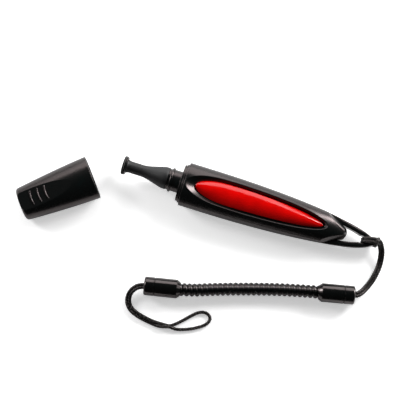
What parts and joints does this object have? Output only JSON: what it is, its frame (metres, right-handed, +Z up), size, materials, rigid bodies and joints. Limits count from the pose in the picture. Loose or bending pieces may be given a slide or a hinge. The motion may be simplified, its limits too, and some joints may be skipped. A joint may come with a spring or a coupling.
{
  "type": "lens cleaning pen",
  "caption": "Pen-shaped lens cleaner with a soft flexible tip, a domed inlay, a loose felt-lined cap and a short coiled strap hitched to the open bail at its tail.",
  "frame": {"origin": "on the table under the middle of the flat back of the pen's body, where the body rests", "axes": "+X along the body from the tip towards the tail and its bail, +Y to the left seen from the tip, +Z up out of the domed inlay"},
  "size_m": [0.1488, 0.0664, 0.0123],
  "materials": {
    "black_plastic": "satin moulded black",
    "red_inlay": "glossy domed red",
    "black_rubber": "soft matt",
    "cleaning_leather": "fine soft nap",
    "felt": "carbon-charged felt",
    "black_cord": "braided",
    "ferrule_plastic": "polished",
    "coil_plastic": "smooth"
  },
  "bodies": {
    "pen": {"back_shell": "black_plastic", "front_shell": "black_plastic", "inlay": "red_inlay", "nose_plug": "black_plastic", "neck_boot": "black_rubber", "cap_shell": "black_plastic", "charging_pad": "felt", "hitch": "black_cord", "tail_cord": "black_cord", "tail_plug": "ferrule_plastic", "tail_ferrule": "ferrule_plastic", "coil": "coil_plastic", "loop_ferrule": "ferrule_plastic", "loop_plug": "ferrule_plastic", "loop_cord": "black_cord", "phone_loop": "black_cord"},
    "tip": {"pad_backing": "black_plastic", "cleaning_pad": "cleaning_leather"}
  },
  "joints": [
    {"name": "tip_tilt", "type": "hinge", "parent": "pen", "child": "tip", "pos_m": [-0.0533, 0, 0.006], "axis": [0, 1, 0], "range_deg": [-15, 15], "stiffness_Nm_per_rad": 0.02, "deforming": ["neck_boot"]}
  ]
}
